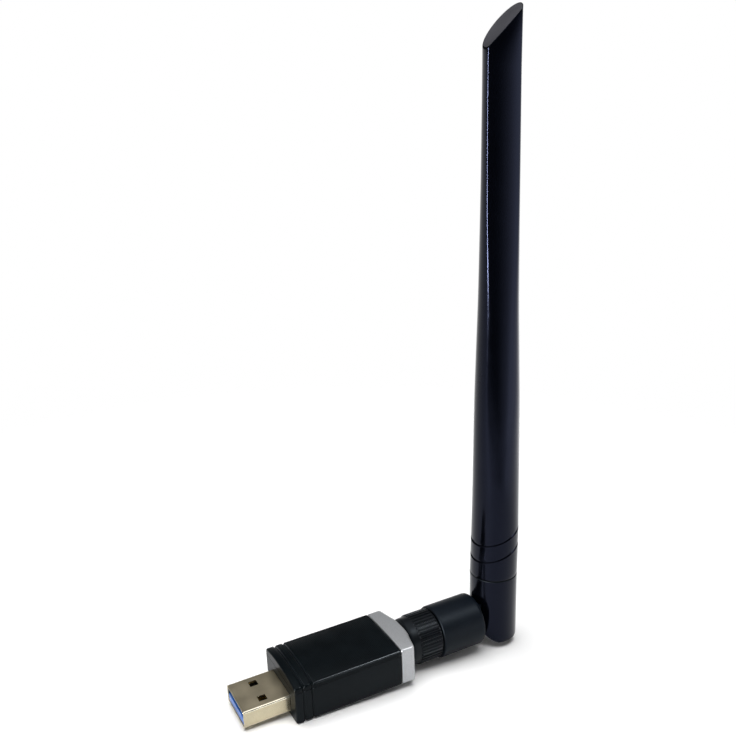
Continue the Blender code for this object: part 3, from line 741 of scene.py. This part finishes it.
def make_nut():
    def rib(t, a, r):
        if r < 6.0:
            return r
        along = max(0.0, min(1.0, (a - 49.22) / 0.30, (55.62 - a) / 0.16))
        along = math.sin(along * math.pi / 2)
        u = (t * RIBS / (2 * math.pi)) % 1.0
        v = abs(2 * u - 1.0)                       # 0 at a groove's middle, 1 on a crest
        k = max(0.0, min(1.0, (v - 0.30) / 0.36))
        k = k * k * (3 - 2 * k)
        return r - along * 0.34 * (1.0 - k) if r > 6.35 else r

    prof = [(NX0, 3.75), (NX0, 5.2)]
    prof += arc(NX0 + 0.85, 5.38, 0.85, 180, 96, 10)
    prof += [(48.2, 6.26), (49.0, 6.29), (49.20, 6.31)]
    prof += [(49.22, 6.36), (49.30, 6.48), (49.42, 6.57), (49.54, NR), (50.2, NR), (51.2, NR), (52.25, NR), (53.2, NR),
             (54.2, NR), (55.2, NR), (55.46, NR), (55.54, 6.56), (55.60, 6.48)]
    prof += [(55.64, 6.30), (55.72, 6.27), (55.78, 6.20), (NX1, 6.1), (NX1, 4.95), (48.6, 4.95), (48.6, 3.75)]
    ob = to_object("knurled_collar", turned(prof, RIBS * 12, radius=rib), M_NUT, 42)
    return place(ob, "nut", ["nut_shell"])


# =========================================================================
# the round base and its lug
# =========================================================================
BX0, BX1, BR = 56.0, 69.2, 7.0
LUG_R, LUG_HALF, PIN_R = 5.0, 2.6, 1.5


def make_base():
    prof = [(BX0, 3.5), (BX0, BR - 0.42)] + arc(BX0 + 0.32, BR - 0.32, 0.32, 180, 90, 6)[1:]
    prof += [(x, BR) for x in (58.0, 60.0, 62.0, 64.0, 66.0, 67.6)]
    prof += arc(BX1 - 1.05, BR - 1.05, 1.05, 90, 0, 10)
    prof += [(BX1, 0), (66.5, 0), (66.5, 3.5)]
    ob = to_object("antenna_swivel_base", turned(prof, 160), M_BASE, 34)
    out = [(BX1 - 1.2, -LUG_R), (PX, -LUG_R)]
    out += [(PX + LUG_R * math.sin(math.pi * i / 48), -LUG_R * math.cos(math.pi * i / 48)) for i in range(1, 48)]
    out += [(PX, LUG_R), (BX1 - 1.2, LUG_R)]
    boolean(ob, loft([[(x, y, z) for x, z in out] for y in (-LUG_HALF, LUG_HALF)]), "UNION")
    boolean(ob, rod(-4, 4, PIN_R + 0.12, 64, "Y", (PX, 0, 0)))
    boolean(ob, rod(65.5, PX - 1.0, 1.2, 32))
    soften(ob, 0.16, 3, 50.0, 34.0)
    return place(ob, "base", ["antenna_base"])


# =========================================================================
# knuckle
# =========================================================================
KR, KT, KB = 6.45, 12.6, 6.2


def make_knuckle():
    global leaning
    leaning = True
    prof = [(-KR - 0.3, 0), (-KR - 0.3, KR), (-3, KR), (3, KR), (8, KR), (10, KR), (KT - 0.18, KR)]
    prof += [(KT - 0.03, KR - 0.06), (KT + 0.04, KR - 0.2), (KT + 0.04, 4.5), (16.6, 4.4), (16.8, 4.2), (16.8, 0)]
    ob = to_object("antenna_knuckle", turned(prof, 144, "Z", (PX, 0, 0)), [M_ANT, M_BASE], 34)
    out = [(PX + KR + 0.05, 30.0), (PX - KR - 0.05, 30.0)]
    for i in range(97):
        t = math.pi * i / 96
        c, q = -math.cos(t), math.sin(t)
        if c < 0:
            x, z = max(-KR - 0.05, 6.55 * c), max(-KB, -6.55 * q)
        else:
            x, z = (KR + 0.05) * c ** (2 / 4.5), -KB * q ** (2 / 4.5)
        if abs(PX + x - out[-1][0]) + abs(z - out[-1][1]) > 1e-6:
            out.append((PX + x, z))
    boolean(ob, loft([[(x, y, z) for x, z in out] for y in (-8, 8)]), "INTERSECT")
    soften(ob, 0.75, 5, 62.0, 34.0, weighted=False)
    boolean(ob, box(PX - 8, PX + 8, -LUG_HALF - 0.22, LUG_HALF + 0.22, -8, LUG_R + 0.3))
    boolean(ob, rod(-5.3, 5.3, PIN_R + 0.12, 64, "Y", (PX, 0, 0)))
    boolean(ob, rod(4.0, 18.0, 1.7, 32, "Z", (PX, 0, 0)))
    soften(ob, 0.12, 2, 50.0, 34.0)
    leaning = False
    for f in ob.data.polygons:                   # the rim at the joint with the blade is left dull
        c = (f.center - P(0)) / MM
        if f.normal.z > 0.12 and c.z > KT - 0.5 and math.hypot(c.x - PX, c.y) > KR - 0.6:
            f.material_index = 1
    return place(ob, "antenna", ["knuckle"])


# =========================================================================
# blade
# =========================================================================
S0 = 12.9
TIP_MID, TIP_RISE, TIP_BACK = 153.15, 1.03, 0.35  # the tip's flat cut
FACET, F0 = 2.24, 36.0
YAW = -20.0
RINGS, RING_TILT = (20.2, 25.0), 19.7
_rs = (0, 13, 22, 34, 45, 61, 75, 89, 101, 113, 125, 148, 170)
_rr = (6.45, 6.45, 6.42, 6.22, 6.10, 5.92, 5.56, 5.17, 4.97, 4.81, 4.70, 4.57, 4.57)
BOW = ((13, 24, 40, 60, 80, 120, 146), (0, 0.18, 0.28, 0.30, 0.22, 0.15, 0))


def curve(s, xs, ys):
    """Smooth curve through stations, with no overshoot between them."""
    s = min(max(s, xs[0]), xs[-1])
    i = int(np.clip(np.searchsorted(xs, s) - 1, 0, len(xs) - 2))

    def slope(k):
        if k <= 0 or k >= len(xs) - 1:
            return 0.0
        a = (ys[k] - ys[k - 1]) / (xs[k] - xs[k - 1])
        b = (ys[k + 1] - ys[k]) / (xs[k + 1] - xs[k])
        return 0.0 if a * b <= 0 else 2 * a * b / (a + b)

    h = xs[i + 1] - xs[i]
    t = (s - xs[i]) / h
    return ((2 * t ** 3 - 3 * t ** 2 + 1) * ys[i] + (t ** 3 - 2 * t ** 2 + t) * h * slope(i)
            + (-2 * t ** 3 + 3 * t ** 2) * ys[i + 1] + (t ** 3 - t ** 2) * h * slope(i + 1))


def blade_radius(s):
    return curve(s, _rs, _rr)


def facet(s):
    """Distance of the flat from the axis; it grows slowly out of the round sleeve."""
    return curve(s, (34, 50, 61, 77, 87, 97, 110, 125, 140, 170), (8.3, 6.15, 5.1, 4.34, 3.89, 3.37, 2.77, 2.42, FACET, FACET))


def blade_outline(s, inset=0.0, n_arc=150, n_flat=34):
    """Points (x, y) of the D-shaped section; the flat faces -Y."""
    r = blade_radius(s)
    f = facet(s)
    k = float(np.interp(s, (48, 62, 80, 98, 112), (1.5, 1.2, 0.8, 0.45, 0.34)))
    phi = math.radians(float(np.interp(s, (30, 60, 84, 110, 140), (36, 38, 44, 56, 61))))
    half = math.sqrt(max(1.0, r * r - f * f))
    pts = []
    for i in range(n_flat):
        u = i / n_flat
        th = -math.pi / 2 - phi * math.cos(math.pi * u)
        pts.append(th)
    for i in range(n_arc):
        u = i / n_arc
        e = 0.5 - 0.5 * math.cos(math.pi * u)
        u = 0.65 * u + 0.35 * e
        pts.append(-math.pi / 2 + phi + (2 * math.pi - 2 * phi) * u)
    out = []
    for th in pts:
        x, y = r * math.cos(th), r * math.sin(th)
        a, b = y, -f
        near = max(0.0, min(1.0, (s - F0) / 8.0))
        y = y + near * ((a + b + math.sqrt((a - b) ** 2 + k * k)) / 2 - y)
        # the flat is very slightly crowned
        y -= 0.26 * (half / 3.9) ** 2 * max(0.0, 1.0 - (x / half) ** 2) * (b > a) * (r > f)
        if inset:
            q = math.hypot(x, y) or 1.0
            x, y = x * (1 - inset / q), y * (1 - inset / q)
        out.append((x, y))
    return out


def ring_inset(s):
    for g in RINGS:
        u = abs(s - g) / 0.42
        if u < 1:
            return 0.36 * min(1.0, (1 - u) * 2.2)
    return 0.0


def make_blade():
    global leaning
    leaning = True
    st = [(S0 - 0.10, 0.22), (S0 - 0.07, 0.10), (S0 + 0.02, 0.03), (S0 + 0.15, 0.0), (14.0, 0.0), (17.0, 0.0)]
    for g in RINGS:
        st += [(g + 0.42 * k / 8, None) for k in range(-8, 9)]
    st += [(s, 0.0) for s in (28, 31, 34)]
    s = 36.0
    while s < 90:
        st.append((s, 0.0))
        s += 1.5
    while s < 147:
        st.append((s, 0.0))
        s += 3.2
    tan = math.tan(math.radians(RING_TILT))
    ca, sa = math.cos(math.radians(YAW)), math.sin(math.radians(YAW))
    turn = lambda x, y: (PX + x * ca - y * sa, x * sa + y * ca)
    rings = []
    for s, inset in st:
        if inset is None:
            inset = ring_inset(s)
        k = float(np.interp(s, (S0 + 0.2, RINGS[0] - 0.6, RINGS[1] + 0.6, 42.0), (0, 1, 1, 0)))
        bow = float(np.interp(s, *BOW))
        ring = []
        for x, y in blade_outline(s, inset):
            u, v = turn(x, y)
            ring.append((u + bow, v, s + k * tan * (x * ca - y * sa)))
        rings.append(ring)
    plane = lambda x, y: TIP_MID + TIP_RISE * x + TIP_BACK * y
    for inset, drop in ((0.0, 0.34), (0.03, 0.16), (0.10, 0.04), (0.22, 0.0)):
        rings.append([(*turn(x, y), plane(x, y) - drop) for x, y in blade_outline(150, inset)])
    bm = loft(rings, end=False)
    # slanted end face, as rings closing on its middle, so that it stays an even mesh
    last = [v for v in bm.verts][-len(rings[0]):]
    prev = last
    ob_pts = blade_outline(150, 0.22)
    cx, cy = 0.0, 0.75
    tip_faces = []
    for k in (0.72, 0.42, 0.15):
        cur = []
        for x, y in ob_pts:
            xx, yy = cx + (x - cx) * k, cy + (y - cy) * k
            cur.append(bm.verts.new((*turn(xx, yy), plane(xx, yy))))
        for i in range(len(cur)):
            j = (i + 1) % len(cur)
            tip_faces.append(bm.faces.new((prev[i], prev[j], cur[j], cur[i])))
        prev = cur
    tip_faces.append(bm.faces.new(prev))
    for f in tip_faces:
        f.material_index = 1
    ob = to_object("antenna_sleeve", bm, [M_ANT, M_TIP], 30)
    boolean(ob, turned([(8.0, 0), (8.0, 4.7), (17.3, 4.7), (19.5, 2.15), (146.0, 2.15), (146.0, 0)], 48, "Z", (PX, 0, 0)))
    ob.data.shade_smooth()
    ob.data.set_sharp_from_angle(angle=math.radians(34))
    leaning = False
    return place(ob, "antenna", ["antenna_blade"])


make_plug_shell()
make_tongue()
make_tub()
make_lid()
make_end_cap()
make_jack()
make_nut()
make_base()
make_knuckle()
make_blade()

# carried-over pieces keep their shape and get their finish here
FINISH = {
    "contact_retainer": M_SHADE_RETAINER, "circuit_board": M_BOARD, "shield_can": M_TIN, "wifi_chip": M_CHIP,
    "front_end_chip": M_CHIP, "crystal": M_TIN, "regulator_chip": M_CHIP, "power_inductor": M_FERRITE,
    "capacitor_1": M_CERAMIC, "capacitor_2": M_CERAMIC, "jack_insulator": M_PTFE, "jack_pin": M_GOLD,
    "nut_insert": M_BRASS, "connector_ferrule": M_BRASS, "connector_insulator": M_PTFE, "connector_socket": M_GOLD,
    "coax_lower": M_JACKET, "hinge_pin": M_STEEL, "coax_upper": M_JACKET, "choke_sleeve": M_BRASS,
    "radiator": M_COPPER, "spacer_ring_1": M_FOAM, "spacer_ring_2": M_FOAM,
}
for i in range(1, 5):
    FINISH["power_contact_%d" % i] = M_GOLD
for i in range(1, 6):
    FINISH["signal_contact_%d" % i] = M_GOLD
for name, mat in FINISH.items():
    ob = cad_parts[name]
    ob.data.materials.clear()
    ob.data.materials.append(mat.m)

# =========================================================================
# stage, light and camera
# =========================================================================
def plain(name, color, rough):
    m = bpy.data.materials.new(name)
    m.use_nodes = True
    b = m.node_tree.nodes["Principled BSDF"]
    b.inputs["Base Color"].default_value = (*color, 1)
    b.inputs["Roughness"].default_value = rough
    b.inputs["Specular IOR Level"].default_value = 0.2
    return m


def floor_material():
    """Pale matt table that melts into the white sweep towards its rim."""
    m = plain("pale_floor", (0.93, 0.93, 0.93), 0.75)
    nt = m.node_tree
    tc = nt.nodes.new("ShaderNodeTexCoord")
    ln = nt.nodes.new("ShaderNodeVectorMath")
    ln.operation = "LENGTH"
    nt.links.new(tc.outputs["Object"], ln.inputs[0])
    fade = nt.nodes.new("ShaderNodeMapRange")
    fade.interpolation_type = "SMOOTHSTEP"
    for k, v in zip(("From Min", "From Max", "To Min", "To Max"), (0.10, 0.26, 0.0, 1.0)):
        fade.inputs[k].default_value = v
    nt.links.new(ln.outputs["Value"], fade.inputs["Value"])
    clear = nt.nodes.new("ShaderNodeBsdfTransparent")
    mix = nt.nodes.new("ShaderNodeMixShader")
    nt.links.new(fade.outputs["Result"], mix.inputs[0])
    nt.links.new(nt.nodes["Principled BSDF"].outputs[0], mix.inputs[1])
    nt.links.new(clear.outputs[0], mix.inputs[2])
    nt.links.new(mix.outputs[0], nt.nodes["Material Output"].inputs["Surface"])
    return m


# the adapter rests on the front edge of its housing and on the round base
front = P(HX0 + 0.36, 0, HLO)
back = P(BX0 + 0.5, 0, -BR)
pitch = math.atan2(front.z - back.z, back.x - front.x)
bpy.ops.mesh.primitive_circle_add(vertices=128, radius=0.27, fill_type="NGON")
floor = bpy.context.active_object
floor.name = "studio_floor"
floor.rotation_euler = (0, pitch, 0)
floor.location = (0, 0, back.z + math.tan(pitch) * back.x - 0.00002)
floor.data.materials.append(floor_material())

# surroundings: the backdrop is plain white; what the object mirrors is a white sweep behind and beside
# it up to just over the horizon, a dim ceiling, and a dark room in front
world = bpy.data.worlds.new("studio")
scene.world = world
world.use_nodes = True
nt = world.node_tree
bg = nt.nodes["Background"]


def wnode(kind, **vals):
    n = nt.nodes.new(kind)
    for k, v in vals.items():
        if k in n.inputs:
            n.inputs[k].default_value = v
        else:
            setattr(n, k, v)
    return n


def wmap(src, lo, hi, a, b):
    n = wnode("ShaderNodeMapRange", interpolation_type="SMOOTHSTEP")
    for k, v in zip(("From Min", "From Max", "To Min", "To Max"), (lo, hi, a, b)):
        n.inputs[k].default_value = v
    nt.links.new(src, n.inputs["Value"])
    return n.outputs["Result"]


tc = wnode("ShaderNodeTexCoord")
sep = wnode("ShaderNodeSeparateXYZ")
nt.links.new(tc.outputs["Generated"], sep.inputs[0])


def toward(azimuth):
    """How far a direction points to that side of the room."""
    dot = wnode("ShaderNodeVectorMath", operation="DOT_PRODUCT")
    nt.links.new(tc.outputs["Generated"], dot.inputs[0])
    dot.inputs[1].default_value = (math.cos(math.radians(azimuth)), math.sin(math.radians(azimuth)), 0.0)
    return dot.outputs["Value"]


def times(a, b):
    n = wnode("ShaderNodeMath", operation="MULTIPLY")
    nt.links.new(a, n.inputs[0])
    nt.links.new(b, n.inputs[1])
    return n.outputs[0]


sweep = wmap(sep.outputs[2], 0.11, 0.18, 1.0, 0.0)
front_dim = wmap(toward(232), 0.72, 0.90, 1.0, 0.0)
right_lift = wmap(toward(340), 0.34, 0.56, 1.0, RIGHT)
mul = wnode("ShaderNodeMath", operation="ADD")
nt.links.new(times(times(sweep, right_lift), front_dim), mul.inputs[0])
mul.inputs[1].default_value = CEILING
path = wnode("ShaderNodeLightPath")
# the overhead light as gloss sees it: wide and gentle, so that metal seen from above keeps its tone
zenith = times(wmap(sep.outputs[2], 0.66, 0.92, 0.0, ZENITH), path.outputs["Is Glossy Ray"])
lit = wnode("ShaderNodeMath", operation="ADD")
nt.links.new(mul.outputs[0], lit.inputs[0])
nt.links.new(zenith, lit.inputs[1])
white = wnode("ShaderNodeMix", data_type="FLOAT")
nt.links.new(path.outputs["Is Camera Ray"], white.inputs["Factor"])
nt.links.new(lit.outputs[0], white.inputs["A"])
white.inputs["B"].default_value = 1.0
nt.links.new(white.outputs["Result"], bg.inputs["Strength"])
bg.inputs["Color"].default_value = (1.0, 1.0, 1.0, 1.0)


def softbox(name, at, look, size, power, size_y=None, color=(1, 1, 1)):
    d = bpy.data.lights.new(name, "AREA")
    d.energy = power
    d.color = color
    d.shape = "RECTANGLE"
    d.size = size
    d.size_y = size_y or size
    o = bpy.data.objects.new(name, d)
    scene.collection.objects.link(o)
    o.location = at
    o.rotation_euler = (Vector(look) - Vector(at)).to_track_quat("-Z", "Y").to_euler()
    o.visible_diffuse = False                     # only seen in the gloss: an edge and strip light
    return o


sun = bpy.data.lights.new("overhead_sky", "SUN")
sun.energy = 3.8
sun.angle = math.radians(56)
sun_ob = bpy.data.objects.new("overhead_sky", sun)
scene.collection.objects.link(sun_ob)
sun_ob.visible_glossy = False
sun_ob.rotation_euler = Vector((0.0, -0.06, -1.0)).to_track_quat("-Z", "Y").to_euler()

softbox("edge_light", (0.36, -0.26, 0.70), (0.0, 0.0, 0.01), 0.20, 2.6)
softbox("strip_left", (-0.40, -0.20, 0.16), (0.035, 0.0, 0.10), 0.05, 8.0, 0.26)

cam_data = bpy.data.cameras.new("camera")
cam_data.sensor_width = 36.0
cam_data.lens = 36.0 * 860.4 / 736.0
cam_data.clip_start = 0.01
cam = bpy.data.objects.new("camera", cam_data)
scene.collection.objects.link(cam)
az, dip, roll = math.radians(63.08), math.radians(17.686), math.radians(-2.479)
fwd = Vector((math.cos(dip) * math.cos(az), math.cos(dip) * math.sin(az), -math.sin(dip)))
right = Vector((math.sin(az), -math.cos(az), 0.0))
up = right.cross(fwd)
r2 = right * math.cos(roll) + up * math.sin(roll)
u2 = up * math.cos(roll) - right * math.sin(roll)
rot = Matrix((r2, u2, -fwd)).transposed()
cam.matrix_world = Matrix.Translation(P(-47.23, -171.98, 144.18 - 4.67)) @ rot.to_4x4()
scene.camera = cam

scene.view_settings.view_transform = "Standard"
